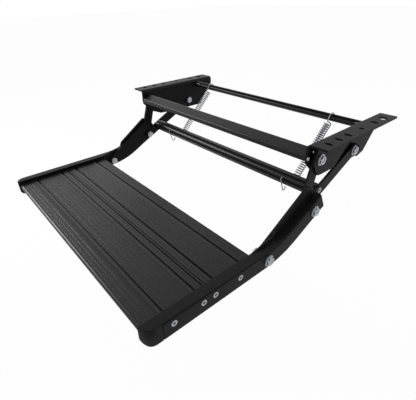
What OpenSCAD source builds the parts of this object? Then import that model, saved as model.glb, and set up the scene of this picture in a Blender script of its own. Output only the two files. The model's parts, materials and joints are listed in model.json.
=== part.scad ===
// Pull-out caravan step: two brackets, four links, two arms, one tread and two return springs.
// Shared frame, in mm: X across the step, -Y out to the front, +Z up.
// The origin is the centre of the four corner slots, on the top face of the flanges.

/* [Brackets] */
// Clear width between the two bracket plates
bracket_gap = 548; // [440:2:900]
// Length of a bracket, front to back
bracket_len = 256; // [230:1:300]
// Thickness of the bracket plate and flange
plate_t = 4; // [3:0.5:6]
// Width of the flange, from the plate's inner face
flange_w = 42; // [40:1:70]
// Outer radius of the bend
bend_r = 8; // [6:0.5:10]
// Depth of the inner plate
plate_drop = 78; // [75:1:100]
// Depth of the square front end of the inner plate
nose_drop = 37; // [30:1:45]
// Depth of the rear end of the inner plate
tail_drop = 19; // [16:1:24]
// Depth of the outer plate
side_drop = 67; // [64:1:72]
// Front end of the notch in the outer plate, ahead of the rear upper pivot
notch_fore = 79; // [70:1:84]
// Top of the notch, ahead of the rear upper pivot
notch_top_fore = 38; // [32:1:42]
// Top of the notch, below the flange top
notch_drop = 28; // [24:1:32]
// Room round the rear pivot's washer
notch_room = 1.5; // [1:0.25:3]
// Two pin holes in the outer plate
pin_hole_d = 2.5; // [1.5:0.25:4]
// Length of the slots in the flange
slot_len = 16; // [12:0.5:20]
// Width of the slots in the flange
slot_w = 9; // [6:0.5:11]
// Distance of the slots from the plate's inner face
slot_out = 26.5; // [24:0.5:30]
// First slot, behind the front end
slot_first = 26; // [20:1:30]
// Gap between the first three slots
slot_step = 31.5; // [24:0.5:36]
// Last slot, behind the front end
slot_last = 189; // [170:1:200]
// Small round hole in the flange
hole_small_d = 10; // [6:0.5:12]
// Place of the small round hole
hole_small_y = 138; // [125:1:150]
// Large round hole in the flange
hole_large_d = 17; // [10:0.5:20]
// Place of the large round hole
hole_large_y = 225; // [212:1:235]

/* [Linkage] */
// Front upper pivot, behind the bracket's front end
a_y = 28; // [24:1:36]
// Front upper pivot, below the flange top
a_drop = 34; // [30:1:40]
// Rear upper pivot, behind the bracket's front end
b_y = 160; // [140:1:180]
// Rear upper pivot, below the flange top
b_drop = 56; // [50:1:62]
// Front lower pivot, ahead of the bracket's front end
c_out = 119; // [100:1:130]
// Front lower pivot, below the flange top
c_drop = 177; // [165:1:195]
// Rear lower pivot, behind the bracket's front end
d_y = 9; // [0:1:16]
// Rear lower pivot, below the flange top
d_drop = 130; // [122:1:138]
// Elbow of the front link, behind the bracket's front end
elbow_y = 7; // [-6:1:10]
// Elbow of the front link, below the flange top
elbow_drop = 101; // [94:1:112]
// Thickness of the links
link_t = 5; // [3:0.5:8]
// Radius of the front link's upper eye
link_eye_r = 12; // [9:0.5:12]
// Half width of the front link at the elbow
link_half_w = 13; // [11:0.5:15]
// Radius of the front link's lower eye
link_toe_r = 11.5; // [9:0.5:12]
// Half width of the rear link
rear_half_w = 12.5; // [12:0.5:16]
// Radius of the rear link's lower eye
rear_toe_r = 12; // [10:0.5:13]

/* [Arms] */
// Thickness of the arm plate
arm_t = 4; // [3:0.5:6]
// Width of the shelf beside the arm plate
shelf_w = 15; // [14:0.5:30]
// Thickness of the shelf
shelf_t = 2.5; // [2:0.5:4]
// Thickness of the outer arm bar
bar_t = 4; // [3:0.5:6]
// Width of the outer arm bar
bar_w = 31; // [26:1:36]
// Radius of the upward bend of the arm
arm_bend_r = 170; // [120:5:190]
// Where the bend starts, behind the front lower pivot
arm_bend_y = -6; // [-20:1:10]
// Length of the arm past the rear lower pivot
arm_end = 28; // [24:1:36]
// Height of the arm's peak above the rear lower pivot
peak_rise = 49; // [44:1:54]
// Distance of the arm's peak ahead of the rear lower pivot
peak_fore = 13; // [9:1:18]
// Rise of the arm's throat above the front lower pivot
throat_rise = 44; // [40:1:50]
// Distance of the arm's throat behind the front lower pivot
throat_back = 36; // [32:1:42]
// Depth of the notch in the arm's top end
end_notch = 20; // [14:1:24]
// Straight part of the toe, ahead of the seam
toe_straight = 10; // [5:1:20]
// Rounding of the toe's lower front corner
toe_low_r = 11; // [4:1:14]

/* [Tread] */
// Depth of the tread, front to back
tread_depth = 227; // [200:1:260]
// Distance from the tread's rear edge to the front lower pivot
tread_back = 27; // [24:1:34]
// Height of the tread
tread_h = 27; // [22:1:30]
// Wall of the tread extrusion
tread_wall = 2.5; // [1.5:0.25:4]
// Pitch of the fine ribs on top
rib_pitch = 3.25; // [3:0.25:8]
// Depth of the grooves between the ribs
rib_depth = 0.8; // [0.4:0.1:1.2]
// Drop of the tread's top below the arm's top edge
tread_sink = 8; // [5:0.5:10]
// Broad lines across the top, behind the front edge
line_at = [44, 105, 142, 202];
// Width of the broad lines
line_w = 2.8; // [1.5:0.1:3.5]
// Fine lines along the middle, behind the front edge
fine_at = [122, 127];
// Width of the fine lines
fine_w = 1.4; // [0.8:0.1:2]
// Smooth strips without ribs, from and to behind the front edge
smooth_at = [[33, 50], [96, 143], [192, 207]];
// First tread screw, behind the front edge
screw_first = 49; // [44:1:56]
// Second tread screw, behind the front edge
screw_second = 105; // [98:1:112]
// Third tread screw, behind the front edge
screw_third = 129; // [124:1:140]
// Last tread screw, behind the front edge
screw_last = 184; // [170:1:195]

/* [Bars] */
// Width of the upper crossbar
crossbar_w = 32; // [28:1:34]
// Thickness of the upper crossbar
crossbar_t = 11; // [9:0.5:12]
// Tilt of the upper crossbar
crossbar_tilt = 29; // [20:1:35]
// Centre of the upper crossbar, behind the front end
crossbar_y = 12; // [11:0.5:13]
// Centre of the upper crossbar, below the flange top
crossbar_drop = 23.5; // [22:0.5:25]
// Distance between the crossbar's two screws
crossbar_pitch = 18.8; // [16:0.2:20]
// Diameter of the rear bar
rear_bar_d = 15; // [13:0.5:16]
// Centre of the rear bar, behind the front end
rear_bar_y = 195; // [185:1:205]
// Centre of the rear bar, below the flange top
rear_bar_drop = 13; // [12.5:0.5:16]
// Diameter of the lower bar
lower_bar_d = 26; // [20:1:28]
// Distance of the lower bar from the rear upper pivot
lower_bar_along = 121; // [105:1:125]
// Wall of the bars
bar_wall = 2.5; // [1.5:0.25:3]

/* [Springs] */
// Distance of the springs from the middle
spring_x = 203; // [120:1:240]
// Wire of the springs
wire_d = 2.4; // [1.5:0.1:2.6]
// Middle diameter of the coil
coil_d = 14; // [11:0.5:15]
// Length of the coil
coil_len = 136; // [120:1:140]
// Curls in each spring
curls = 36; // [20:1:40]
// Straight part between the rear bar and the coil
lead = 15; // [13:1:20]
// How far the coil's line passes below the lower bar's centre
hook_drop = 33; // [28:1:36]
// Radius of the bends of the hook
hook_r = 4.5; // [4:0.5:6]
// How far the hook stands out in front of the lower bar
hook_out = 1; // [1:0.5:6]
// Straight drop of the hook
hook_len = 27; // [18:1:32]
// Lean of the hook's drop, back from plumb
hook_lean = 17; // [0:1:18]

/* [Fasteners] */
// Diameter of the pivot bolts
bolt_d = 10; // [8:0.5:12]
// Width across the flats of the bolt heads and nuts
hex_w = 16; // [15:0.5:17]
// Height of the bolt heads
head_h = 5; // [5:0.5:9]
// Height of the nuts
nut_h = 8; // [5:0.5:10]
// Diameter of the washers
washer_d = 22; // [20:0.5:25]
// Thickness of the washers
washer_t = 1.5; // [1:0.25:3]
// Diameter of the screws
screw_d = 5; // [4:0.5:6]
// Diameter of the flush screw heads
screw_head_d = 11; // [9:0.5:12]
// Diameter of the dome heads
dome_d = 9; // [7:0.5:9]
// Height of the dome heads
dome_h = 3; // [2:0.25:4]
// Length of the screws inside the bars and the tread
screw_grip = 20; // [12:1:30]

/* [Clearances] */
// Gap between the layers of plates and links
layer_gap = 1; // [0.6:0.1:2]
// Running fit of a bolt in its hole, on the radius
run_fit = 0.05; // [0.02:0.01:0.1]
// Fit of the small screws, on the radius
screw_fit = 0.05; // [0.02:0.01:0.1]
// Slack between a washer or nut and the link that turns beside it
slack = 0.1; // [0.05:0.05:0.3]
// Gap between a spring hook and its bar
hook_gap = 0.4; // [0.3:0.05:0.6]
// Gap between the shelf and the outer bar
shelf_gap = 1.5; // [0.5:0.1:2]
// Gap at the seam between the toe and the outer bar
seam_gap = 0.4; // [0.3:0.1:1]

/* [Hidden] */
$fn = 32;
small_fn = 20;
eps = 0.01;

// The front end of the brackets in the shared frame
front_y = -(slot_first + slot_last) / 2;

// Layers from the inside out, on the right
x_plate = bracket_gap / 2;
x_link = x_plate + plate_t + layer_gap;
x_arm = x_link + link_t + layer_gap;
x_shelf = x_arm + arm_t;
x_out = x_shelf + shelf_w;
x_bar = x_out - bar_t;
x_side = x_arm;
x_face = x_side + plate_t;

// Pivots in the side view, measured from the bracket's front end
piv_a = [a_y, -a_drop];
piv_b = [b_y, -b_drop];
piv_c = [-c_out, -c_drop];
piv_d = [d_y, -d_drop];
elbow = [elbow_y, -elbow_drop];
rear_axis = [rear_bar_y, -rear_bar_drop];
lower_axis = piv_b + lower_bar_along * (piv_d - piv_b) / norm(piv_d - piv_b);

// Arm: a level run, a bend and a straight rise through the rear lower pivot
arm_start = piv_c + [arm_bend_y, 0];
tread_rear = -c_out - tread_back;
tread_front = tread_rear - tread_depth;
toe_r = x_out - x_arm;
seam_y = tread_front + toe_r + toe_straight;
to_d = piv_d - arm_start - [0, arm_bend_r];
rise = atan2(to_d[1], to_d[0]) + asin(arm_bend_r / norm(to_d));
rise_dir = [cos(rise), sin(rise)];
rise_nor = [-sin(rise), cos(rise)];
shelf_low = bar_w / 2 + shelf_gap;
shelf_top = shelf_low + shelf_t;
arm_top = -c_drop + shelf_top;
tread_top = arm_top - tread_sink;
screw_z = tread_top - tread_wall - screw_d;
screws_y = [for (s = [screw_first, screw_second, screw_third, screw_last]) tread_front + s];

// Points at distance o above the arm's middle line, from y = y0 to the rear end
function arm_line(o, y0) = concat(
    [[y0, -c_drop + o]],
    [for (k = [0 : 10]) arm_start + [0, arm_bend_r] + (arm_bend_r - o)
        * [sin(rise * k / 10), -cos(rise * k / 10)]],
    [piv_d + arm_end * rise_dir + o * rise_nor]
);

function flip(v) = [for (i = [len(v) - 1 : -1 : 0]) v[i]];

// A side profile, extruded from x over a thickness
module side(x, t) {
    translate([x, front_y, 0]) rotate([90, 0, 90]) linear_extrude(t) children();
}

// A cylinder across the step from x over a length, at a point of the side view
module across(x, len, p, d) {
    translate([x, front_y + p[0], p[1]]) rotate([0, 90, 0]) cylinder(d = d, h = len);
}

module hex_across(x, len, p, w) {
    translate([x, front_y + p[0], p[1]])
        rotate([0, 90, 0])
        cylinder(d = w / cos(30), h = len, $fn = 6);
}

module ring_across(x, len, p, d, bore) {
    difference() {
        across(x, len, p, d, $fn = small_fn);
        across(x - 1, len + 2, p, bore, $fn = small_fn);
    }
}

module both() {
    children();
    mirror([1, 0, 0]) children();
}

module dot(p, r) {
    translate(p) circle(r);
}

// Brackets
module bracket_section() {
    difference() {
        union() {
            translate([0, -plate_drop]) square([plate_t, plate_drop - bend_r]);
            translate([bend_r, -plate_t]) square([flange_w - bend_r, plate_t]);
            intersection() {
                translate([bend_r, -bend_r]) circle(bend_r);
                translate([0, -bend_r]) square(bend_r);
            }
        }
        translate([bend_r, -bend_r]) circle(bend_r - plate_t);
    }
}

module plate_outline() {
    polygon([
        [0, 1], [0, -nose_drop], piv_a - [14, 17], piv_a - [0, 30],
        [a_y + 26, 3 - plate_drop], [b_y - 50, -plate_drop - 1], [b_y + 48, -plate_drop - 1],
        [bracket_len - 4, -tail_drop - 5], [bracket_len, -tail_drop], [bracket_len, 1]
    ]);
}

// The outer plate hangs from the flange, with a notch where the rear link comes out
module side_outline() {
    difference() {
        polygon([
            [a_y - 10, -plate_t / 2], piv_a - [19, 0], piv_a - [13, 18], [a_y - 1, 1 - side_drop],
            [a_y + 12, -side_drop], [b_y - notch_fore, -side_drop],
            [b_y - notch_top_fore, -notch_drop], [b_y - notch_top_fore + 5, 1 - notch_drop],
            piv_b + [-2, 16], piv_b - [-8, 15], piv_b - [-31, 9],
            piv_b + [62, 29], piv_b + [78, b_drop - plate_t / 2]
        ]);
        dot(piv_b, washer_d / 2 + notch_room);
    }
}

module slot(y) {
    translate([x_plate + slot_out, front_y + y, -plate_t - 1]) {
        for (s = [-1, 1])
            translate([s * (slot_len - slot_w) / 2, 0, 0]) cylinder(d = slot_w, h = plate_t + 2);
        translate([-(slot_len - slot_w) / 2, -slot_w / 2, 0])
            cube([slot_len - slot_w, slot_w, plate_t + 2]);
    }
}

module flange_hole(y, d) {
    translate([x_plate + slot_out, front_y + y, -plate_t - 1]) cylinder(d = d, h = plate_t + 2);
}

module bracket() {
    difference() {
        union() {
            intersection() {
                translate([x_plate, front_y + bracket_len, 0])
                    rotate([90, 0, 0])
                    linear_extrude(bracket_len) bracket_section();
                side(x_plate - 1, flange_w + 2) plate_outline();
            }
            side(x_side, plate_t) side_outline();
        }
        for (i = [0 : 2]) slot(slot_first + i * slot_step);
        slot(slot_last);
        flange_hole(hole_small_y, hole_small_d);
        flange_hole(hole_large_y, hole_large_d);
        for (p = [[36, 14], [34, 9]])
            across(x_side - 1, plate_t + 2, piv_b + p, pin_hole_d, $fn = small_fn);
        across(x_plate - 1, x_face - x_plate + 2, piv_a, bolt_d + 2 * run_fit);
        across(x_plate - 1, plate_t + 2, piv_b, bolt_d + 2 * run_fit);
        for (s = [-1, 1])
            across(x_plate - 1, plate_t + 2, crossbar_screw(s), screw_d + 2 * screw_fit);
        across(x_plate - 1, plate_t + 2, rear_axis, screw_d + 2 * screw_fit);
    }
}

module bracket_right() {
    color("#2b2b2b") bracket();
}

module bracket_left() {
    color("#2b2b2b") mirror([1, 0, 0]) bracket();
}

// Bars
function crossbar_screw(s) = [crossbar_y, -crossbar_drop]
    + s * crossbar_pitch / 2 * [cos(crossbar_tilt), sin(crossbar_tilt)];

module crossbar_shape(cut) {
    hull() {
        translate([crossbar_t / 2 - crossbar_w / 2, 0]) circle(crossbar_t / 2 - cut);
        translate([crossbar_w / 2 - 3, crossbar_t / 2 - 3]) circle(3 - min(cut, 2.5));
        translate([crossbar_w / 2 - 3, 3 - crossbar_t / 2]) circle(3 - min(cut, 2.5));
    }
}

module crossbar_section() {
    difference() {
        crossbar_shape(0);
        difference() {
            crossbar_shape(bar_wall);
            for (s = [-1, 1]) translate([s * crossbar_pitch / 2, 0]) circle(crossbar_t / 2);
        }
        for (i = [-2 : 4])
            translate([i * 3.4 - 0.6, crossbar_t / 2 - 0.8]) square([1.2, 2]);
    }
}

module upper_crossbar() {
    color("#2b2b2b")
    difference() {
        side(-x_plate, bracket_gap)
            translate([crossbar_y, -crossbar_drop])
            rotate(crossbar_tilt)
            crossbar_section();
        for (s = [-1, 1])
            across(-x_plate - 1, bracket_gap + 2, crossbar_screw(s), screw_d + 2 * screw_fit);
    }
}

// A round extrusion with a fluted skin, three webs and a screw port
module fluted(d, n) {
    flute = PI * d / n / 4;
    difference() {
        polygon([for (i = [0 : 4 * n - 1])
            (d / 2 - (i % 4 == 0 ? flute : 0)) * [cos(90 * i / n), sin(90 * i / n)]]);
        difference() {
            circle(d / 2 - flute - bar_wall);
            circle(screw_d / 2 + bar_wall);
            for (a = [0, 120, 240])
                rotate(a) translate([0, -bar_wall / 2]) square([d, bar_wall]);
        }
    }
}

module rear_bar() {
    color("#303030")
    difference() {
        side(-x_plate, bracket_gap) translate(rear_axis) fluted(rear_bar_d, 8);
        across(-x_plate - 1, bracket_gap + 2, rear_axis, screw_d + 2 * screw_fit);
    }
}

module lower_bar() {
    color("#303030")
    difference() {
        side(-x_link, 2 * x_link) translate(lower_axis) fluted(lower_bar_d, 12);
        across(-x_link - 1, 2 * x_link + 2, lower_axis, screw_d + 2 * screw_fit);
        both() hook_hole();
    }
}

module dome_screw(p) {
    across(x_plate - screw_grip, screw_grip + plate_t + 1, p, screw_d, $fn = small_fn);
    translate([x_plate + plate_t, front_y + p[0], p[1]])
        rotate([0, 90, 0])
        cylinder(d1 = dome_d, d2 = dome_d * 0.55, h = dome_h, $fn = small_fn);
}

module crossbar_screws() {
    color("#b9bbbd") both() for (s = [-1, 1]) dome_screw(crossbar_screw(s));
}

module rear_bar_screws() {
    color("#b9bbbd") both() dome_screw(rear_axis);
}

// A flush screw: the head's cone lies in the outer face at x
module flush_screw(x, len, p) {
    across(x - len, len - 1, p, screw_d, $fn = small_fn);
    flush_cone(x, p, 0, 0);
}

// The cone of a flush head, wider by a fit and running out of the face by some length
module flush_cone(x, p, fit, over) {
    h = (screw_head_d - screw_d) / 2;
    translate([x - h, front_y + p[0], p[1]])
        rotate([0, 90, 0])
        cylinder(
            d1 = screw_d + 2 * fit, d2 = screw_head_d + 2 * fit + 2 * over,
            h = h + over, $fn = small_fn
        );
}

module flush_hole(x, len, p) {
    across(x - len, len + 1, p, screw_d + 2 * screw_fit);
    flush_cone(x, p, screw_fit, 1);
}

// Links
module front_link() {
    difference() {
        side(x_link, link_t) {
            hull() {
                dot(piv_a, link_eye_r);
                dot(elbow, link_half_w);
            }
            hull() {
                dot(elbow, link_half_w);
                dot(piv_c, link_toe_r);
            }
        }
        for (p = [piv_a, piv_c]) across(x_link - 1, link_t + 2, p, bolt_d + 2 * run_fit);
    }
}

module rear_link() {
    difference() {
        side(x_link, link_t)
            hull() {
                dot(piv_b, rear_half_w);
                dot(piv_d, rear_toe_r);
            }
        for (p = [piv_b, piv_d]) across(x_link - 1, link_t + 2, p, bolt_d + 2 * run_fit);
        flush_hole(x_link + link_t, link_t + 1, lower_axis);
    }
}

module front_link_right() {
    color("#262626") front_link();
}

module front_link_left() {
    color("#262626") mirror([1, 0, 0]) front_link();
}

module rear_link_right() {
    color("#262626") rear_link();
}

module rear_link_left() {
    color("#262626") mirror([1, 0, 0]) rear_link();
}

module lower_bar_screws() {
    color("#b9bbbd") both() flush_screw(x_link + link_t, link_t + screw_grip, lower_axis);
}

// Pivots of the brackets: the front head lies on the outer plate, the rear one on the link
uppers = [[piv_a, x_face + washer_t], [piv_b, x_link + link_t + slack + washer_t]];

module upper_pivot_bolts() {
    color("#c4c6c8")
    both() for (u = uppers) {
        across(x_plate - nut_h - 2, u[1] - x_plate + nut_h + 3, u[0], bolt_d);
        hex_across(u[1], head_h, u[0], hex_w);
    }
}

module upper_pivot_washers() {
    color("#c4c6c8")
    both() for (u = uppers)
        ring_across(u[1] - washer_t, washer_t, u[0], washer_d, bolt_d + 2 * run_fit);
}

module nut(x, p) {
    difference() {
        hex_across(x, nut_h, p, hex_w);
        across(x - 1, nut_h + 2, p, bolt_d + 2 * run_fit);
    }
}

module upper_pivot_nuts() {
    color("#c4c6c8") both() for (p = [piv_a, piv_b]) nut(x_plate - nut_h, p);
}

module thrust_washers() {
    color("#1c1c1c")
    both() for (p = [piv_a, piv_b])
        ring_across(x_plate + plate_t, layer_gap - slack, p, washer_d, bolt_d + 2 * run_fit);
    color("#1c1c1c")
    both()
        ring_across(x_side - layer_gap + slack, layer_gap - slack, piv_a, washer_d,
            bolt_d + 2 * run_fit);
}

// Pivots of the arms; the rear one is split at the link, where the linkage is opened
module front_pivot_bolts() {
    color("#c4c6c8")
    both() {
        across(x_link - slack - nut_h - 2, x_out - x_link + slack + nut_h + washer_t + 3,
            piv_c, bolt_d);
        hex_across(x_out + washer_t, head_h, piv_c, hex_w);
    }
}

module rear_pivot_bolts() {
    color("#c4c6c8")
    both() {
        across(x_arm - layer_gap / 2, x_out + washer_t + 1 - x_arm + layer_gap / 2, piv_d, bolt_d);
        hex_across(x_out + washer_t, head_h, piv_d, hex_w);
    }
}

module rear_knuckle_pins() {
    color("#c4c6c8")
    both() {
        across(x_link - nut_h - 2, nut_h + 2 + link_t, piv_d, bolt_d);
        hex_across(x_link - nut_h, nut_h, piv_d, hex_w);
    }
}

module front_pivot_nuts() {
    color("#c4c6c8") both() nut(x_link - slack - nut_h, piv_c);
}

module lower_pivot_washers() {
    color("#c4c6c8")
    both() for (p = [piv_c, piv_d]) {
        ring_across(x_out, washer_t, p, washer_d, bolt_d + 2 * run_fit);
        ring_across(x_arm - layer_gap + slack, layer_gap - slack, p, washer_d,
            bolt_d + 2 * run_fit);
    }
}

module pivot_spacers() {
    color("#8a8c8e")
    both() for (p = [piv_c, piv_d])
        ring_across(x_shelf, x_bar - x_shelf, p, hex_w + 2, bolt_d + 2 * run_fit);
}

// Arms: the plate and its shelf are one pressing, and the outer bar is bolted on
module arm_plate() {
    throat = piv_c + [throat_back, throat_rise];
    end_corner = piv_d + arm_end * rise_dir + shelf_top * rise_nor;
    polygon(concat(
        arm_line(-bar_w / 2, tread_front + bar_t / 2),
        [end_corner, end_corner - [14, end_notch / 2], end_corner - [9, -end_notch / 2]],
        [piv_d + [-peak_fore + 4, peak_rise - 1], piv_d + [-peak_fore, peak_rise]],
        [throat, throat - [4, 8], throat - [8, 15], throat - [34, 18], throat - [48, 22]],
        [[tread_rear, arm_top], [tread_front + bar_t / 2, arm_top]]
    ));
}

module shelf_shape() {
    start = tread_front + toe_r;
    polygon(concat(arm_line(shelf_low, start), flip(arm_line(shelf_top, start))));
}

module toe_quarter(r) {
    intersection() {
        circle(r);
        translate([0, -r]) square(r);
    }
}

module toe() {
    low = -c_drop - bar_w / 2;
    translate([x_arm, front_y + tread_front + toe_r, 0]) {
        translate([0, 0, low]) linear_extrude(arm_top - low) {
            difference() {
                toe_quarter(toe_r);
                circle(toe_r - bar_t);
            }
            translate([toe_r - bar_t, 0]) square([bar_t, toe_straight]);
        }
        translate([0, 0, arm_top - shelf_t]) linear_extrude(shelf_t) toe_quarter(toe_r);
    }
}

module toe_corner() {
    low = -c_drop - bar_w / 2;
    mid = [tread_front, low] + [toe_low_r, toe_low_r];
    side(x_arm - 1, toe_r + 2)
        polygon(concat(
            [[tread_front - 1, mid[1]], [tread_front - 1, low - 1], [mid[0], low - 1]],
            [for (a = [270 : -15 : 180]) mid + toe_low_r * [cos(a), sin(a)]]
        ));
}

module arm() {
    difference() {
        union() {
            side(x_arm, arm_t) arm_plate();
            side(x_shelf - arm_t / 2, shelf_w + arm_t / 2) shelf_shape();
            toe();
        }
        toe_corner();
        for (p = [piv_c, piv_d]) across(x_arm - 1, arm_t + 2, p, bolt_d + 2 * run_fit);
        for (y = screws_y) across(x_arm - 1, arm_t + 2, [y, screw_z], screw_d + 2 * screw_fit);
    }
}

module arm_bar() {
    difference() {
        side(x_bar, bar_t)
            polygon(concat(
                arm_line(-bar_w / 2, seam_y + seam_gap),
                flip(arm_line(bar_w / 2, seam_y + seam_gap))
            ));
        for (p = [piv_c, piv_d]) across(x_bar - 1, bar_t + 2, p, bolt_d + 2 * run_fit);
        for (y = screws_y) flush_hole(x_out, bar_t + 1, [y, screw_z]);
    }
}

module arm_right() {
    color("#262626") arm();
}

module arm_left() {
    color("#262626") mirror([1, 0, 0]) arm();
}

module arm_bar_right() {
    color("#2e2e2e") arm_bar();
}

module arm_bar_left() {
    color("#2e2e2e") mirror([1, 0, 0]) arm_bar();
}

// Tread
function ribbed(y) = len([for (z = smooth_at) if (y > z[0] && y < z[1]) z]) == 0;

module tread_lines(at, w) {
    for (s = at)
        translate([tread_front + s - w / 2, tread_top - 2 * rib_depth]) square([w, 4 * rib_depth]);
}

module tread_outline() {
    nose = tread_h / 2;
    ribs = floor((tread_depth - nose - 2) / rib_pitch);
    half = rib_pitch * 0.22;
    grooves = [for (i = [0 : ribs - 1])
        let (y = tread_depth - 2 - rib_pitch * (i + 0.5))
        if (ribbed(y)) tread_front + y];
    polygon(concat(
        [[tread_rear, tread_top - tread_h], [tread_rear, tread_top - 1], [tread_rear - 1, tread_top]],
        [for (y = grooves, k = [-1 : 1]) [y - k * half, tread_top - (k == 0 ? rib_depth : 0)]],
        [for (k = [0 : 24]) [tread_front + nose, tread_top - nose]
            + (nose - (k % 2 == 1 && k < 8 ? rib_depth : 0))
            * [cos(90 + 7.5 * k), sin(90 + 7.5 * k)]]
    ));
}

module tread_section() {
    edge = concat([tread_front + tread_h / 2], screws_y, [tread_rear - tread_wall / 2]);
    floor_z = tread_top - tread_h + tread_wall;
    roof_z = tread_top - rib_depth - tread_wall;
    difference() {
        tread_outline();
        difference() {
            for (i = [0 : len(edge) - 2])
                translate([edge[i] + tread_wall / 2, floor_z])
                    square([edge[i + 1] - edge[i] - tread_wall, roof_z - floor_z]);
            for (y = screws_y) dot([y, screw_z], screw_d / 2 + tread_wall);
        }
        tread_lines(line_at, line_w);
        tread_lines(fine_at, fine_w);
    }
}

module tread() {
    color("#333333")
    difference() {
        side(-x_arm, 2 * x_arm) tread_section();
        for (y = screws_y)
            across(-x_arm - 1, 2 * x_arm + 2, [y, screw_z], screw_d + 2 * screw_fit);
    }
}

module tread_screws() {
    color("#b9bbbd")
    both() for (y = screws_y) flush_screw(x_out, x_out - x_arm + screw_grip, [y, screw_z]);
}

// Springs: a hook over the rear bar, the coil, and a hook through a hole in the lower bar
span = norm(lower_axis - rear_axis);
lower_turn = asin(hook_drop / span);
straight = (lower_axis - rear_axis) / span;
along = cos(lower_turn) * straight + sin(lower_turn) * [-straight[1], straight[0]];
above = [along[1], -along[0]];
r_coil = coil_d / 2;
r_up = rear_bar_d / 2 + wire_d / 2 + hook_gap;
coil_end = lead + coil_len;

// The hook's bends, as centres at [along, above] and headings from the coil's line
low_mid = [span * cos(lower_turn), hook_drop];
bend_one = [coil_end + wire_d, r_coil + hook_r];
to_low = low_mid - bend_one;
head_one = atan2(to_low[1], to_low[0]) + asin(hook_r / norm(to_low));
front_end = low_mid + (lower_bar_d / 2 + hook_out) * [cos(head_one), sin(head_one)];
bend_two = front_end - hook_r * [-sin(head_one), cos(head_one)];
plumb = [sin(hook_lean), -cos(hook_lean)];
head_two = atan2(plumb * above, plumb * along);
drop_end = turned(bend_two, -hook_r, head_two)[0] + hook_len * [cos(head_two), sin(head_two), 0];
bend_three = [drop_end[0], drop_end[1]] - hook_r * [-sin(head_two), cos(head_two)];

// The hole of the hook through the lower bar
module hook_hole() {
    way = cos(head_one) * along + sin(head_one) * above;
    translate([spring_x, front_y + lower_axis[0], lower_axis[1]])
        rotate([atan2(way[1], way[0]), 0, 0])
        rotate([-90, 0, 0])
        cylinder(d = wire_d + 2 * hook_gap, h = 2 * lower_bar_d, center = true, $fn = small_fn);
}

function ease(t) = t * t * (3 - 2 * t);

// A point of the wire heading at angle a round a centre, and its side direction;
// the wire turns the other way where the radius is below zero
function turned(mid, r, a) = [[mid[0] + r * sin(a), mid[1] - r * cos(a), 0], [-sin(a), cos(a), 0]];

// Each entry is a point on the wire and its side direction, as [along, above, across]
wire = concat(
    [[r_up * [-0.5, -sin(60), 0] + wire_d * [sin(60), -0.5, 0], [-0.5, -sin(60), 0]]],
    [for (a = [-60 : 15 : 90]) [r_up * [-cos(a), sin(a), 0], [-cos(a), sin(a), 0]]],
    [for (k = [1 : 5]) [[lead * k / 6, r_up + (r_coil - r_up) * ease(k / 6), 0], [0, 1, 0]]],
    [for (i = [0 : 8 * curls])
        [[lead + coil_len * i / (8 * curls), r_coil * cos(45 * i), r_coil * sin(45 * i)],
            [0, cos(45 * i), sin(45 * i)]]],
    [for (k = [0 : 4]) turned(bend_one, hook_r, head_one * k / 4)],
    [for (k = [0 : 6]) turned(bend_two, -hook_r, head_one + (head_two - head_one) * k / 6)],
    [for (k = [0 : 10]) turned(bend_three, -hook_r, head_two - 20 * k)]
);
last = len(wire) - 1;

function unit(v) = v / norm(v);

function world(v) = [
    spring_x + v[2],
    front_y + rear_axis[0] + v[0] * along[0] + v[1] * above[0],
    rear_axis[1] + v[0] * along[1] + v[1] * above[1]
];

function ring(i) =
    let (
        t = unit(wire[min(i + 1, last)][0] - wire[max(i - 1, 0)][0]),
        o = wire[i][1],
        n = unit(o - (o * t) * t),
        m = cross(t, n)
    )
    [for (j = [0 : 5]) world(wire[i][0] + wire_d / 2 * (cos(60 * j) * n + sin(60 * j) * m))];

module spring() {
    polyhedron(
        points = [for (i = [0 : last]) each ring(i)],
        faces = concat(
            [for (i = [0 : last - 1], j = [0 : 5])
                [6 * i + j, 6 * i + 6 + j, 6 * i + 6 + (j + 1) % 6]],
            [for (i = [0 : last - 1], j = [0 : 5])
                [6 * i + j, 6 * i + 6 + (j + 1) % 6, 6 * i + (j + 1) % 6]],
            [for (j = [1 : 4]) [0, j, j + 1]],
            [for (j = [1 : 4]) [6 * last, 6 * last + j + 1, 6 * last + j]]
        )
    );
}

module spring_right() {
    color("#c9cbcc") spring();
}

module spring_left() {
    color("#c9cbcc") mirror([1, 0, 0]) spring();
}

wire_gap = min([for (i = [0 : last - 4], j = [i + 4 : last]) norm(wire[i][0] - wire[j][0])])
    - wire_d;
echo(least_gap_of_a_spring_to_itself = wire_gap);

bracket_left();
bracket_right();
upper_crossbar();
rear_bar();
crossbar_screws();
rear_bar_screws();
upper_pivot_bolts();
upper_pivot_washers();
upper_pivot_nuts();
thrust_washers();
front_link_left();
front_link_right();
rear_link_left();
rear_link_right();
lower_bar();
lower_bar_screws();
rear_knuckle_pins();
spring_left();
spring_right();
tread();
arm_left();
arm_right();
arm_bar_left();
arm_bar_right();
tread_screws();
front_pivot_bolts();
rear_pivot_bolts();
lower_pivot_washers();
front_pivot_nuts();
pivot_spacers();
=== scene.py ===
import json
import math

import bpy
import numpy as np
from mathutils import Matrix


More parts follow.
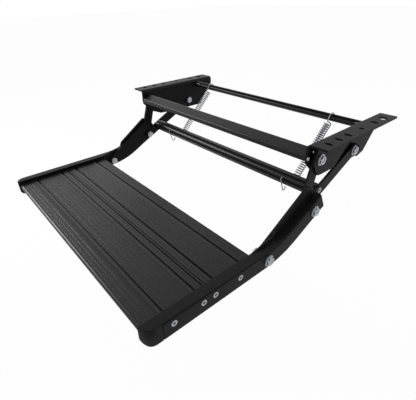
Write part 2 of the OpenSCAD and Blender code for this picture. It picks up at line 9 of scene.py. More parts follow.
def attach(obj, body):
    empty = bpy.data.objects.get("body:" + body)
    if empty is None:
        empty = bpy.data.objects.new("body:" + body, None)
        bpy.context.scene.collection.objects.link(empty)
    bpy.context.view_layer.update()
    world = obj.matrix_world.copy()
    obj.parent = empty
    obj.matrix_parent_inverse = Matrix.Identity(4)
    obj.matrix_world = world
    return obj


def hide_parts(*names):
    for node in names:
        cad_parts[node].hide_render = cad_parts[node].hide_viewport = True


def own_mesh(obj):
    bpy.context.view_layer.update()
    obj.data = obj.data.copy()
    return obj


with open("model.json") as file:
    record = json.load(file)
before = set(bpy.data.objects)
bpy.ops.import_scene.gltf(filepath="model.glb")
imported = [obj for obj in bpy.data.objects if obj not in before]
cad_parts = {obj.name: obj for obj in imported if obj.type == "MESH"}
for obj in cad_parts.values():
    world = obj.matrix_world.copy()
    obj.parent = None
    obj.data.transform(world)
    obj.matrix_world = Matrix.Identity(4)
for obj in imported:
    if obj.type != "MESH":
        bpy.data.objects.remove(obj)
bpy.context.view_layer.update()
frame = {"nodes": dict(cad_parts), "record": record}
nodes = frame["nodes"]
print("stage: frame loaded,", len(nodes), "nodes")

mm = 0.001


# Colours are written as sRGB hex, and each channel goes through the sRGB curve to linear light
def linearColour(hexText):
    parts = [int(hexText[i:i + 2], 16) / 255 for i in (1, 3, 5)]
    return tuple(c / 12.92 if c <= 0.04045 else ((c + 0.055) / 1.055) ** 2.4 for c in parts) + (1.0,)


# One node: a setting goes to the socket of that name or number, or else to the node's own option
def addNode(tree, kind, settings=None, links=None):
    made = tree.nodes.new(kind)
    for key, value in (settings or {}).items():
        if isinstance(key, int) or key in made.inputs:
            made.inputs[key].default_value = value
        else:
            setattr(made, key, value)
    for key, source in (links or {}).items():
        tree.links.new(source, made.inputs[key])
    return made


# An empty material with nodes, and its tree
def newMaterial(name):
    material = bpy.data.materials.new(name)
    material.use_nodes = True
    tree = material.node_tree
    tree.nodes.clear()
    return material, tree


# Shared by all finishes: the detail of the two noises, and the colour sockets of the Mix node by number
noiseSetup = {"cloudDetail": 3.0, "cloudRoughness": 0.55, "peelDetail": 2.0}
mixSocket = {"factor": 0, "first": 6, "second": 7, "result": 2}


# A finish: noise as wide as grain mixes dark with light and one roughness with the other,
# and noise as wide as peel lifts the surface by peelDepth, all in mm
def surfaceFinish(name, setup):
    material, tree = newMaterial(name)
    place = addNode(tree, "ShaderNodeTexCoord").outputs["Object"]
    cloud = addNode(tree, "ShaderNodeTexNoise",
                    {"Scale": 1 / (setup["grain"] * mm), "Detail": noiseSetup["cloudDetail"],
                     "Roughness": noiseSetup["cloudRoughness"]}, {"Vector": place})
    peel = addNode(tree, "ShaderNodeTexNoise",
                   {"Scale": 1 / (setup["peel"] * mm), "Detail": noiseSetup["peelDetail"]}, {"Vector": place})
    colour = addNode(tree, "ShaderNodeMix",
                     {"data_type": "RGBA", mixSocket["first"]: linearColour(setup["dark"]),
                      mixSocket["second"]: linearColour(setup["light"])},
                     {mixSocket["factor"]: cloud.outputs["Fac"]})
    rough = addNode(tree, "ShaderNodeMapRange", {"To Min": setup["rough"][0], "To Max": setup["rough"][1]},
                    {"Value": cloud.outputs["Fac"]})
    bump = addNode(tree, "ShaderNodeBump", {"Strength": setup["bump"], "Distance": setup["peelDepth"] * mm},
                   {"Height": peel.outputs["Fac"]})
    shader = addNode(tree, "ShaderNodeBsdfPrincipled",
                     {"Metallic": setup["metallic"], "Specular IOR Level": setup["specular"]},
                     {"Base Color": colour.outputs[mixSocket["result"]], "Roughness": rough.outputs["Result"],
                      "Normal": bump.outputs["Normal"]})
    addNode(tree, "ShaderNodeOutputMaterial", {}, {"Surface": shader.outputs["BSDF"]})
    return material


# Powder coat on pressed steel: powder melted to a thick skin, satin black, with an orange peel that
# breaks up its highlights. The peel is drawn as coarse as it needs to show
powderSetup = {"dark": "#0f0f10", "light": "#161617", "grain": 18, "peel": 2.2, "peelDepth": 0.09, "bump": 0.2,
               "rough": (0.44, 0.54), "metallic": 0.0, "specular": 0.09}
powderCoat = surfaceFinish("black powder coat", powderSetup)
# Coated aluminium: extruded and thinly coated, smoother than the pressings, so that ribs and edges
# catch a line of light. Its peel is drawn coarse too
extrusionSetup = {"dark": "#161617", "light": "#1c1c1d", "grain": 25, "peel": 2.0, "peelDepth": 0.06, "bump": 0.05,
                  "rough": (0.31, 0.38), "metallic": 0.0, "specular": 0.15}
coatedAluminium = surfaceFinish("black coated aluminium", extrusionSetup)
# Zinc plated steel of bolts, nuts, washers and screws: plated in a bath, which leaves a pale grey metal
# with soft clouds and broken reflections. Clouds and grain are drawn coarse, so that they show
zincSetup = {"dark": "#85888c", "light": "#b0b3b6", "grain": 4, "peel": 1.2, "peelDepth": 0.04, "bump": 0.2,
             "rough": (0.26, 0.40), "metallic": 1.0, "specular": 0.5}
zincSteel = surfaceFinish("zinc plated steel", zincSetup)
# Spring wire: drawn and then plated, darker and duller than the bolts, with short soft glints.
# Its grain is drawn coarse too
wireSetup = {"dark": "#6b6e72", "light": "#8e9195", "grain": 3, "peel": 1.2, "peelDepth": 0.03, "bump": 0.2,
             "rough": (0.34, 0.46), "metallic": 1.0, "specular": 0.5}
springWire = surfaceFinish("plated spring wire", wireSetup)
# Black nylon of the thrust washers: moulded, matt and even. Its fine grain is drawn coarse too
nylonSetup = {"dark": "#121212", "light": "#1b1b1b", "grain": 6, "peel": 1.2, "peelDepth": 0.03, "bump": 0.15,
              "rough": (0.5, 0.6), "metallic": 0.0, "specular": 0.4}
blackNylon = surfaceFinish("black nylon", nylonSetup)

finishOf = {"black_steel": powderCoat, "black_aluminium": coatedAluminium, "zinc_steel": zincSteel,
            "black_nylon": blackNylon}
slotOf = {part["node"]: part["material_slot"] for part in frame["record"]["subparts"]}
for name, obj in nodes.items():
    obj.data.materials.clear()
    obj.data.materials.append(finishOf[slotOf[name]])
print("stage: materials on", len(slotOf), "nodes")

# Rounded edges of the arms and the bars on them, on copies with joined corners and whole flats:
# merge and width in mm, and in degrees how flat a flat is and the least angle of an edge that is rounded
edgeSetup = {"merge": 0.01, "flat": 1, "width": 0.8, "segments": 3, "least": {"arm": 40, "arm_bar": 60}}
for family, least in edgeSetup["least"].items():
    for side in ("left", "right"):
        name = family + "_" + side
        piece = bpy.data.objects.new("rounded_" + name, nodes[name].data.copy())
        bpy.context.scene.collection.objects.link(piece)
        weld = piece.modifiers.new("joined corners", "WELD")
        weld.merge_threshold = edgeSetup["merge"] * mm
        flat = piece.modifiers.new("whole flats", "DECIMATE")
        flat.decimate_type = "DISSOLVE"
        flat.angle_limit = math.radians(edgeSetup["flat"])
        bevel = piece.modifiers.new("rounded edges", "BEVEL")
        bevel.use_clamp_overlap = False
        bevel.harden_normals = True
        bevel.width = edgeSetup["width"] * mm
        bevel.segments = edgeSetup["segments"]
        bevel.limit_method = "ANGLE"
        bevel.angle_limit = math.radians(least)
        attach(piece, "tread")
        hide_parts(name)
print("stage: edges rounded")

# Shared by the new meshes: sides of a turned form, and the angle in degrees from which an edge stays sharp
meshSetup = {"sides": 72, "sharp": 32}


# A turned form along X: each row gives how far out, a radius, and a width across flats or 0. The radius is held to
# the hexagon, which is half that width over the cosine of the angle from the middle of a flat
def turnedForm(rows):
    turn = np.linspace(0, 2 * np.pi, meshSetup["sides"], endpoint=False)
    out, radius, flats = np.array(rows, float).T
    corner = 0.5 / np.cos((turn + np.pi / 6) % (np.pi / 3) - np.pi / 6)
    limit = np.where(flats[:, None] > 0, flats[:, None] * corner, np.inf)
    wide = np.minimum(radius[:, None], limit)
    return np.stack([np.repeat(out[:, None], len(turn), 1), wide * np.cos(turn), wide * np.sin(turn)], -1)


# One mesh from grids that close round their second side and are capped at both ends, points in mm;
# a mirrored grid has its faces turned back
def addForms(name, grids, node, body, slot, finish=None):
    points, faces, start = [], [], 0
    for grid, flipped in grids:
        rows, sides = grid.shape[:2]
        index = start + np.arange(rows * sides).reshape(rows, sides)
        nextSide = np.roll(index, -1, 1)
        quads = np.stack([index[:-1], nextSide[:-1], nextSide[1:], index[1:]], -1).reshape(-1, 4)
        made = quads.tolist() + [index[0][::-1].tolist(), index[-1].tolist()]
        faces += [f[::-1] for f in made] if flipped else made
        points.append(grid.reshape(-1, 3))
        start += rows * sides
    mesh = bpy.data.meshes.new(name)
    mesh.from_pydata((np.concatenate(points) * mm).tolist(), [], faces)
    mesh.polygons.foreach_set("use_smooth", np.ones(len(mesh.polygons), bool))
    mesh.set_sharp_from_angle(angle=math.radians(meshSetup["sharp"]))
    mesh.materials.append(finish or finishOf[slot])
    obj = bpy.data.objects.new(name, mesh)
    bpy.context.scene.collection.objects.link(obj)
    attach(obj, body)
    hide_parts(node)
    return obj


# Plated fasteners as one piece: each form at its place (across, along, up) and mirrored on the left
def addFasteners(name, parts, node, body):
    grids = []
    for form, place in parts:
        right = form + np.array(place, float)
        grids += [(right, False), (right * np.array([-1, 1, 1]), True)]
    addForms(name, grids, node, body, "zinc_steel")


# Pivot places in the side view and layers across, in mm
pivot = {"frontUpper": (-79.5, -34), "rearUpper": (52.5, -56),
         "frontLower": (-226.5, -177), "rearLower": (-98.5, -130)}
layer = {"plate": 274, "plateFace": 278, "link": 279, "linkFace": 284, "sideFace": 289, "out": 304}
# A hair's width between two rows that make a square step, and a radius past every hexagon's corners
hair, pastCorners = 0.02, 9.4

# Bolt: a hexagon head with a flange below and a shallow dish on top, and a plain shank. Edges are rows of
# (out, change of radius). Places are the layer under the washer, its thickness, and the layer near the bolt's
# end with how far out from it
boltSetup = {"shank": 10, "tip": 1, "flange": 19.5, "flangeEdge": ((0, -0.4), (0.3, 0), (0.7, -0.1), (1.1, -0.7)),
             "flats": 16, "foot": 1.5, "head": 5, "chamfer": 1.3, "shoulder": 8.1, "shoulderDown": 0.35, "rim": 7.3,
             "dish": 10.4, "dishEdge": ((0, 0.3), (-0.3, -0.1), (-1.1, -0.6)), "dishFloor": 1.0}
boltPlaces = {"frontUpper": ("sideFace", 1.5, "plate", -10), "rearUpper": ("linkFace", 1.6, "plate", -10),
              "frontLower": ("out", 1.5, "link", -10.1), "rearLower": ("out", 1.5, "linkFace", 0.5)}


# A bolt at its pivot: rows from the tip along the shank, round the flange, up the hexagon and into the dish
def boltAt(key):
    s, (under, washer, near, more) = boltSetup, boltPlaces[key]
    seat, end = layer[under] + washer, layer[near] + more
    length, head, shank = seat - end, s["head"], s["shank"] / 2
    rows = [(-length, shank - s["tip"], 0), (s["tip"] - length, shank, 0), (-hair, shank, 0),
            *((out, s["flange"] / 2 + change, 0) for out, change in s["flangeEdge"]),
            (s["foot"], pastCorners, s["flats"]), (head - s["chamfer"], pastCorners, s["flats"]),
            (head - s["shoulderDown"], s["shoulder"], s["flats"]), (head, s["rim"], 0),
            *((head + out, s["dish"] / 2 + change, 0) for out, change in s["dishEdge"]),
            (head + s["dishEdge"][-1][0], s["dishFloor"], 0)]
    return turnedForm(rows), (seat, *pivot[key])


addFasteners("upperPivotBolts", [boltAt("frontUpper"), boltAt("rearUpper")], "upper_pivot_bolts", "frame")
addFasteners("frontPivotBolts", [boltAt("frontLower")], "front_pivot_bolts", "tread")
addFasteners("rearPivotBolts", [boltAt("rearLower")], "rear_pivot_bolts", "tread")

# Nut: a hexagon with a deep chamfer on the side that shows, seated at its outer end. Rows are (out, radius),
# and seats are a layer with how far out from it
nutSetup = {"flats": 16, "height": 8, "crown": 7.2, "chamfer": ((0.3, 8.0), (1.1, pastCorners)),
            "foot": ((-0.5, pastCorners), (0, 8.8)), "pin": 10, "pinTip": 1, "pinStart": -10, "pinEnd": 5}
nutSeats = {"frontUpper": ("plate", 0), "rearUpper": ("plate", 0),
            "frontLower": ("link", -0.1), "rearLower": ("link", 0)}


# A nut at its pivot: rows from the crown down the chamfer and the flats to the seat, with rows before and after
def nutAt(key, before=(), after=()):
    s, (near, more) = nutSetup, nutSeats[key]
    rows = [*before, (-s["height"], s["crown"], 0),
            *((out - s["height"], radius, s["flats"]) for out, radius in s["chamfer"]),
            *((out, radius, s["flats"]) for out, radius in s["foot"]), *after]
    return turnedForm(rows), (layer[near] + more, *pivot[key])


# The knuckle pin in the rear link's lower eye is a nut with a pin through it
pinRadius, pinStart, pinTip = nutSetup["pin"] / 2, nutSetup["pinStart"], nutSetup["pinTip"]
pinBefore = [(pinStart, pinRadius - pinTip, 0), (pinStart + pinTip, pinRadius, 0),
             (-nutSetup["height"] - hair, pinRadius, 0)]
pinAfter = [(hair, pinRadius, 0), (nutSetup["pinEnd"], pinRadius, 0)]
addFasteners("upperPivotNuts", [nutAt("frontUpper"), nutAt("rearUpper")], "upper_pivot_nuts", "frame")
addFasteners("frontPivotNuts", [nutAt("frontLower")], "front_pivot_nuts", "tread")
addFasteners("rearKnucklePins", [nutAt("rearLower", pinBefore, pinAfter)], "rear_knuckle_pins", "rear_links")

# Flush screws with a six-sided recess, and dome screws with a smaller one. A recess is its widths at the mouth and
# the floor, a rim rows of (out, change of radius), tip and floor are radii
screwSetup = {"shank": 5, "tip": 1.6, "tipLong": 1.5, "neck": 3, "head": 11, "rim": ((-0.25, -0.1), (0, -0.3)),
              "recess": (4.6, 4.0), "leadWide": 0.5, "leadDeep": 0.2, "deep": 2.4, "floor": 0.6}
treadScrewSetup = {"y": (-431.5, -375.5, -351.5, -296.5), "z": -173.0, "grip": 39}
lowerScrewSetup = {"y": -56.15, "z": -109.25, "grip": 25}
domeSetup = {"wide": 9, "high": 3, "arc": 1.25, "rings": 7, "recess": (2.55, 2.4), "deep": 1.6, "floor": 0.4,
             "shank": 5, "tip": 2.0, "grip": 20}
domePlaces = {"crossbar_screws": ((-103.72, -28.06), (-87.28, -18.94)), "rear_bar_screws": ((87.5, -13),)}


# A flush screw: rows from the tip along the shank, out over the cone to the rim, and down the recess
def flushForm(grip):
    s = screwSetup
    shank, head, (mouth, low) = s["shank"] / 2, s["head"] / 2, s["recess"]
    return turnedForm([(-grip, s["tip"], 0), (s["tipLong"] - grip, shank, 0), (-s["neck"], shank, 0),
                       *((out, head + change, 0) for out, change in s["rim"]), (0, mouth / 2 + s["leadWide"], 0),
                       (-s["leadDeep"], pastCorners, mouth), (-s["deep"], pastCorners, low),
                       (-s["deep"], s["floor"], 0)])


# A dome screw: out is the sine and the radius the cosine of an angle that runs up the arc
def domeForm():
    s = domeSetup
    angle = s["arc"] * np.linspace(0, 1, s["rings"])
    dome = np.stack([s["high"] * np.sin(angle), s["wide"] / 2 * np.cos(angle), 0 * angle], -1)
    top, (mouth, low) = dome[-1, 0], s["recess"]
    return turnedForm([(-s["grip"], s["tip"], 0), (-hair, s["shank"] / 2, 0), *dome, (top, pastCorners, mouth),
                       (top - s["deep"], pastCorners, low), (top - s["deep"], s["floor"], 0)])


treadScrews = [(flushForm(treadScrewSetup["grip"]), (layer["out"], y, treadScrewSetup["z"]))
               for y in treadScrewSetup["y"]]
addFasteners("treadScrews", treadScrews, "tread_screws", "tread")
lowerPlace = (layer["linkFace"], lowerScrewSetup["y"], lowerScrewSetup["z"])
addFasteners("lowerBarScrews", [(flushForm(lowerScrewSetup["grip"]), lowerPlace)], "lower_bar_screws", "rear_links")
for node, places in domePlaces.items():
    domes = [(domeForm(), (layer["plateFace"], *place)) for place in places]
    addFasteners("domes_" + node, domes, node, "frame")
print("stage: bolts, nuts and screws")


# Smooth step: three times t squared less twice t cubed, with t held between 0 and 1
def smoothStep(t):
    held = np.clip(t, 0, 1)
    return held ** 2 * (3 - 2 * held)


# An arc in the side view: the centre plus the radius along each heading, between two headings in degrees
def arcPoints(centre, radius, start, end, count):
    turn = np.radians(np.linspace(start, end, count))
    return np.stack([centre[0] + radius * np.cos(turn), centre[1] + radius * np.sin(turn)], -1)


# A bar across the step: an outline in the side view, drawn out to both sides
def barForm(outline, halfWide):
    edge = np.concatenate([np.zeros((len(outline), 1)), outline], 1)
    return np.stack([edge - (halfWide, 0, 0), edge + (halfWide, 0, 0)])


# Round bars with soft flutes: land is the share of the wave left round, wall the share in which the flute
# falls away, crest the heading of one crest in degrees
roundBarSetup = {
    "lower_bar": {"body": "rear_links", "centre": (-59.5, -110.9), "radius": 14.2, "flutes": 8, "deep": 3.8,
                  "land": 0.35, "wall": 0.45, "crest": 147.5, "half": layer["link"]},
    "rear_bar": {"body": "frame", "centre": (87.5, -13.4), "radius": 7.9, "flutes": 1, "deep": 6.2,
                 "land": 0.935, "wall": 0.035, "crest": 306, "half": layer["plate"]}}
roundBarSteps = 240


# A fluted bar: the radius less the depth times a smooth step of a raised cosine round the bar
def flutedForm(s):
    a = np.linspace(0, 2 * np.pi, roundBarSteps, endpoint=False)
    wave = 0.5 - 0.5 * np.cos(s["flutes"] * (a - math.radians(s["crest"])))
    radius = s["radius"] - s["deep"] * smoothStep((wave - s["land"]) / s["wall"])
    outline = np.array(s["centre"]) + radius[:, None] * np.stack([np.cos(a), np.sin(a)], -1)
    return barForm(outline, s["half"])


for node, s in roundBarSetup.items():
    addForms("fluted_" + node, [(flutedForm(s), False)], node, s["body"], "black_aluminium")

# Upper crossbar: a sloped front with a rounded top edge, faint lines on top and a small round behind, tilted.
# Rounds are (along, up, radius), headings in degrees, lineEnds how far the lines keep from the rounds
crossbarSetup = {"centre": (-95.5, -23.5), "tilt": 29, "thick": 11, "tail": 13.4, "tailRound": 2.5, "tailSteps": 13,
                 "pitch": 3.4, "deep": 0.3, "linePower": 0.5, "lineSteps": 8, "lineEnds": (1, 0.5),
                 "edge": (-7.6, 1.5, 4.0), "front": (-13.0, -2.3, 2.0), "slope": 143, "under": 250, "roundSteps": 25}


# The crossbar's outline: lines as a power of a sine along the flat top, arcs at its edges, then turned by the tilt
def crossbarForm():
    s = crossbarSetup
    half, t = s["thick"] / 2, s["tailRound"]
    low = arcPoints((s["tail"] - t, t - half), t, -90, 0, s["tailSteps"])
    high = low[::-1] * (1, -1)
    along = np.arange(s["tail"] - t - s["lineEnds"][0], s["edge"][0] + s["lineEnds"][1], -s["pitch"] / s["lineSteps"])
    lines = s["deep"] * (np.abs(np.sin(np.pi * along / s["pitch"])) ** s["linePower"] - 1)
    top = np.stack([along, half + lines], -1)
    edge = arcPoints(s["edge"][:2], s["edge"][2], 90, s["slope"], s["roundSteps"])
    front = arcPoints(s["front"][:2], s["front"][2], s["slope"], s["under"], s["roundSteps"])
    outline = np.concatenate([low, high, top, edge, front, [(s["edge"][0], -half)]])
    tilt = math.radians(s["tilt"])
    turned = outline @ np.array([[math.cos(tilt), math.sin(tilt)], [-math.sin(tilt), math.cos(tilt)]])
    return barForm(turned + np.array(s["centre"]), layer["plate"])


addForms("ribbedCrossbar", [(crossbarForm(), False)], "upper_crossbar", "frame", "black_aluminium")
print("stage: bars")

# Tread: fine ribs, smooth strips that rise and roll down into a line, and a rounded front lip, in mm behind the
# toes. A line of fullLine or wider has strips of full size, chin is a point under the lip, foot the rows below it
treadSetup = {"pitch": 3.83, "rib": 0.5, "ribPower": 0.7, "step": 0.4, "overhang": 1.5,
              "lip": 2.8, "lipRound": 6, "lipTurn": (90, 215), "lipSteps": 25,
              "chin": (8, -16), "foot": ((14, 2), (18, 0)),
              "rise": 0.6, "fall": 1.0, "rollWide": 4.5, "rampWide": 6, "fullLine": 3,
              "lineDeep": 3.0, "lineClear": 0.1, "lineEdge": 0.01,
              "broad": ((43.2, 46.6), (104.2, 107.6), (141.4, 144.8), (201.4, 204.8)),
              "fine": ((120.0, 122.0), (125.9, 127.3)), "smooth": ((33, 48), (96, 143), (192, 207))}


# The tread's outline: ribs as a power of a sine along the top, strips by a smooth step up and a parabola down
# into each line, and an arc round the lip
def treadForm(box):
    s = treadSetup
    (halfWide, rear, top), (front, low) = box.max(0), box.min(0)[1:]
    deep = rear - front + s["overhang"]
    along = np.arange(s["lip"] + s["lipRound"], deep, s["step"])
    height = s["rib"] * (np.abs(np.sin(np.pi * along / s["pitch"])) ** s["ribPower"] - 1)
    for begin, end in s["smooth"]:
        height[(along > begin) & (along < end)] = 0
    keep, cuts = np.ones(len(along), bool), []
    for begin, end in s["broad"] + s["fine"]:
        size = min(1.0, (end - begin) / s["fullLine"])
        ramp = (along - begin + size * (s["rollWide"] + s["rampWide"])) / (size * s["rampWide"])
        roll = (along - begin) / (size * s["rollWide"]) + 1
        strip = np.where(roll < 0, smoothStep(ramp) * s["rise"], s["rise"] - s["fall"] * np.clip(roll, 0, 1) ** 2)
        height = np.where((ramp > 0) & (roll <= 1), size * strip, height)
        keep &= (along < begin - s["lineClear"]) | (along > end + s["lineClear"])
        cuts += [(begin - s["lineEdge"], size * (s["rise"] - s["fall"])), (begin, -s["lineDeep"]),
                 (end, -s["lineDeep"]), (end + s["lineEdge"], 0)]
    surface = np.concatenate([np.stack([along[keep], height[keep]], -1), np.array(cuts)])
    surface = surface[np.argsort(surface[:, 0])]
    lip = arcPoints((s["lip"] + s["lipRound"], -s["lipRound"]), s["lipRound"], *s["lipTurn"], s["lipSteps"])
    under = [(s["lip"] + s["chin"][0], s["chin"][1]),
             *((s["lip"] + back, low - top + up) for back, up in s["foot"])]
    outline = np.concatenate([[(deep, low - top), (deep, 0)], surface[::-1], lip, under])
    return barForm(outline + (front, top), halfWide)


treadBox = np.array(nodes["tread"].bound_box) / mm
addForms("ribbedTread", [(treadForm(treadBox), False)], "tread", "tread", "black_aluminium")
print("stage: tread")

# Springs: a hook over the rear bar, the coil, and a hook through the lower bar, sizes in mm and angles in degrees.
# The coil's axis runs under the lower bar's centre by drop, the wire goes past that centre by front and hangs down
# with a lean. Steps are points along each run, keep is the share of the span that is left when the step is folded
springSetup = {"x": 203, "rear": (87.5, -13), "lower": (-56.154, -109.248), "drop": 33, "keep": 0.6644,
               "wire": 2.4, "wireSides": 10, "upper": 9.7, "upperTurn": (-60, 90), "upperSteps": 26,
               "lead": 15, "leadSteps": 9, "coil": 7, "curls": 26, "curlSteps": 24, "length": 136,
               "bend": 4.5, "bendSteps": (9, 13, 19), "front": 14, "hang": 27, "lean": 17, "lastTurn": 200}


# Vectors over their own lengths
def unitVector(v):
    return v / np.linalg.norm(v, axis=-1, keepdims=True)


# A heading as a unit vector, and the one to its left
def headings(angle):
    return np.array([math.cos(angle), math.sin(angle)]), np.array([-math.sin(angle), math.cos(angle)])


# A bend of the wire: the centre plus the radius to the right of each heading, in radians, and the unit vectors to
# the left; a radius below zero turns the other way
def bendRun(centre, radius, start, end, count):
    a = np.linspace(start, end, count)
    return (np.stack([centre[0] + radius * np.sin(a), centre[1] - radius * np.cos(a), 0 * a], -1),
            np.stack([-np.sin(a), np.cos(a), 0 * a], -1))


# A spring's rings: a path of arcs and a helix, along the spring from the rear bar and above it, with a circle of
# the wire across it at every point; also how many rings the upper hook has
def springForm():
    s = springSetup
    rear, lower = np.array(s["rear"], float), np.array(s["lower"], float)
    span = np.linalg.norm(lower - rear)
    tilt = math.asin(s["drop"] / span)
    line = (lower - rear) / span
    along = math.cos(tilt) * line + math.sin(tilt) * np.array([-line[1], line[0]])
    above = np.array([along[1], -along[0]])
    # Upper hook, then a lead that eases over to the coil
    a = np.radians(np.linspace(*s["upperTurn"], s["upperSteps"]))
    hook = np.stack([-np.cos(a), np.sin(a), 0 * a], -1)
    k = np.linspace(0, 1, s["leadSteps"])[1:-1]
    lead = np.stack([s["lead"] * k, s["upper"] + (s["coil"] - s["upper"]) * smoothStep(k), 0 * k], -1)
    # Coil
    turns = np.linspace(0, s["curls"], s["curlSteps"] * s["curls"] + 1)
    angle = 2 * np.pi * turns
    outward = np.stack([0 * angle, np.cos(angle), np.sin(angle)], -1)
    coil = s["coil"] * outward
    coil[:, 0] = s["lead"] + s["length"] * turns / s["curls"]
    # Lower hook: towards the bar's centre, through it, down and round
    middle = np.array([span * math.cos(tilt), s["drop"]])
    one = np.array([s["lead"] + s["length"] + s["wire"], s["coil"] + s["bend"]])
    toward = middle - one
    headOne = math.atan2(toward[1], toward[0]) + math.asin(s["bend"] / np.linalg.norm(toward))
    ahead, left = headings(headOne)
    two = middle + s["front"] * ahead - s["bend"] * left
    lean = math.radians(s["lean"])
    plumb = np.array([math.sin(lean), -math.cos(lean)])
    headTwo = math.atan2(plumb @ above, plumb @ along)
    runs = [bendRun(one, s["bend"], 0, headOne, s["bendSteps"][0]),
            bendRun(two, -s["bend"], headOne, headTwo, s["bendSteps"][1])]
    ahead, left = headings(headTwo)
    three = runs[-1][0][-1][:2] + s["hang"] * ahead - s["bend"] * left
    runs.append(bendRun(three, -s["bend"], headTwo, headTwo - math.radians(s["lastTurn"]), s["bendSteps"][2]))
    points = np.concatenate([s["upper"] * hook, lead, coil] + [run[0] for run in runs])
    sideways = np.concatenate([hook, np.tile([0.0, 1, 0], (len(lead), 1)), outward] + [run[1] for run in runs])
    # Circles round the wire
    tangent = unitVector(np.gradient(points, axis=0))
    normal = unitVector(sideways - (sideways * tangent).sum(-1, keepdims=True) * tangent)
    other = np.cross(tangent, normal)
    turn = np.linspace(0, 2 * np.pi, s["wireSides"], endpoint=False)[None, :, None]
    rings = points[:, None] + s["wire"] / 2 * (np.cos(turn) * normal[:, None] + np.sin(turn) * other[:, None])
    flat = rear + rings[..., :1] * along + rings[..., 1:2] * above
    return np.concatenate([s["x"] + rings[..., 2:], flat], -1), len(hook) + len(lead) + 1


# Each spring in two pieces, the upper hook and the coil with the lower hook, which gets a mesh of its own; the left
# spring is the right one mirrored
rightSpring, hookRings = springForm()
for name, side in (("right", 1), ("left", -1)):
    rings = rightSpring * np.array([side, 1, 1])
    node, mirrored = "spring_" + name, side < 0
    addForms("hook_" + name, [(rings[:hookRings], mirrored)], node, "springs", "zinc_steel", springWire)
    coil = addForms("coil_" + name, [(rings[hookRings - 1:], mirrored)], node, "springs", "zinc_steel", springWire)
    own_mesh(coil)
print("stage: springs")

# Pale floor well below the hung step, in m; shown is how far it is white to the camera, and the rest takes shadow
floorSetup = {"z": -0.42, "size": 30.0, "colour": "#d4d4d4", "shown": 0.97}
white = (1, 1, 1, 1)


# A share for rays from the camera, and for those mirrored or passed on, so that metal shows the background too
def backgroundShare(tree, share):
    rays = addNode(tree, "ShaderNodeLightPath").outputs
    seen = addNode(tree, "ShaderNodeMath", {"operation": "MAXIMUM"},
                   {0: rays["Is Camera Ray"], 1: rays["Is Glossy Ray"]})
    passed = addNode(tree, "ShaderNodeMath", {"operation": "MAXIMUM"},
                     {0: seen.outputs[0], 1: rays["Is Transmission Ray"]})
    return addNode(tree, "ShaderNodeMath", {"operation": "MULTIPLY", 1: share}, {0: passed.outputs[0]}).outputs[0]


floorMesh = bpy.data.meshes.new("floor")
half = floorSetup["size"] / 2
floorMesh.from_pydata([(-half, -half, 0), (half, -half, 0), (half, half, 0), (-half, half, 0)], [], [(0, 1, 2, 3)])
floor = bpy.data.objects.new("floor", floorMesh)
floor.location.z = floorSetup["z"]
bpy.context.scene.collection.objects.link(floor)
floorMaterial, tree = newMaterial("pale studio floor")
shown = backgroundShare(tree, floorSetup["shown"])
matte = addNode(tree, "ShaderNodeBsdfDiffuse", {"Color": linearColour(floorSetup["colour"])})
glow = addNode(tree, "ShaderNodeEmission", {"Color": white, "Strength": 1.0})
mixed = addNode(tree, "ShaderNodeMixShader", {}, {0: shown, 1: matte.outputs[0], 2: glow.outputs[0]})
addNode(tree, "ShaderNodeOutputMaterial", {}, {"Surface": mixed.outputs[0]})
floorMesh.materials.append(floorMaterial)

# White to the camera; to the object a soft glow from above on the left that fades out to the other sides
worldSetup = {"seen": 1.0, "toward": (-0.6, 0.05, 0.8), "edges": (0.0, 0.9), "light": (0.04, 0.85)}
world = bpy.data.worlds.new("studio")
world.use_nodes = True
tree = world.node_tree
tree.nodes.clear()
heading = addNode(tree, "ShaderNodeTexCoord").outputs["Generated"]
facing = addNode(tree, "ShaderNodeVectorMath", {"operation": "DOT_PRODUCT", 1: worldSetup["toward"]}, {0: heading})
glowing = addNode(tree, "ShaderNodeMapRange",
                  {"From Min": worldSetup["edges"][0], "From Max": worldSetup["edges"][1],
                   "To Min": worldSetup["light"][0], "To Max": worldSetup["light"][1]},
                  {"Value": facing.outputs["Value"]})
level = addNode(tree, "ShaderNodeMapRange", {"To Max": worldSetup["seen"]},
                {"Value": backgroundShare(tree, 1.0), "To Min": glowing.outputs["Result"]})
sky = addNode(tree, "ShaderNodeBackground", {"Color": white}, {"Strength": level.outputs["Result"]})
addNode(tree, "ShaderNodeOutputWorld", {}, {"Surface": sky.outputs[0]})
bpy.context.scene.world = world


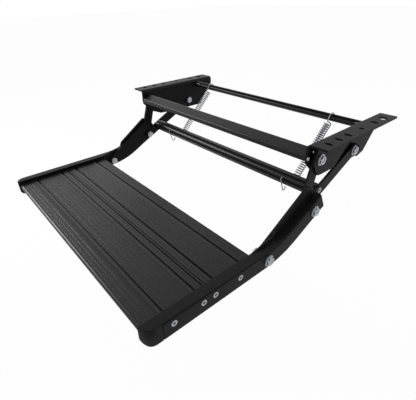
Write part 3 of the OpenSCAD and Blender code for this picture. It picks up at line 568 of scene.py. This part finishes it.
# An object's place and heading from its three axes, which are the columns of its matrix
def standing(axes, place):
    pose = np.eye(4)
    pose[:3, :3] = np.stack(axes, -1)
    pose[:3, 3] = place
    return Matrix(pose.tolist())


# Soft boxes: place, aim, size in m, power in W
lampSetup = {"backLeft": ((-1.7, 0.75, 1.2), (-0.1, -0.2, -0.15), 1.8, 9),
             "leftFront": ((-1.5, -1.2, 0.6), (0, -0.25, -0.1), 0.7, 30),
             "frontTop": ((0.0, -1.6, 1.2), (0, -0.2, -0.1), 0.8, 2),
             "rearRight": ((1.2, 1.6, 1.1), (0, 0, -0.1), 1.6, 12)}
upward = (0, 0, 1)
for name, (place, aim, size, power) in lampSetup.items():
    lamp = bpy.data.lights.new(name, "AREA")
    lamp.size = size
    lamp.energy = power
    obj = bpy.data.objects.new(name, lamp)
    back = unitVector(np.array(place, float) - np.array(aim, float))
    right = unitVector(np.cross(upward, back))
    obj.matrix_world = standing((right, np.cross(back, right), back), place)
    bpy.context.scene.collection.objects.link(obj)
print("stage: floor and lights")

# Camera at the photograph's viewing angle: angles in degrees, place, lens and sensor in mm, near in m
cameraSetup = {"azimuth": 50.13, "elevation": 31.55, "roll": 1.77, "place": (585.6, -597.2, 231.1),
               "lens": 29.31, "sensor": 36.0, "near": 0.01}
turn, lift, roll = (math.radians(cameraSetup[key]) for key in ("azimuth", "elevation", "roll"))
back = np.array((math.sin(turn) * math.cos(lift), -math.cos(turn) * math.cos(lift), math.sin(lift)))
right = unitVector(np.cross(-back, upward))
down = np.cross(-back, right)
axes = (math.cos(roll) * right + math.sin(roll) * down, math.sin(roll) * right - math.cos(roll) * down, back)
cameraData = bpy.data.cameras.new("camera")
cameraData.sensor_width = cameraSetup["sensor"]
cameraData.lens = cameraSetup["lens"]
cameraData.clip_start = cameraSetup["near"]
camera = bpy.data.objects.new("camera", cameraData)
camera.matrix_world = standing(axes, np.array(cameraSetup["place"]) * mm)
bpy.context.scene.collection.objects.link(camera)
bpy.context.scene.camera = camera
bpy.context.scene.view_settings.view_transform = "Standard"
print("stage: camera")
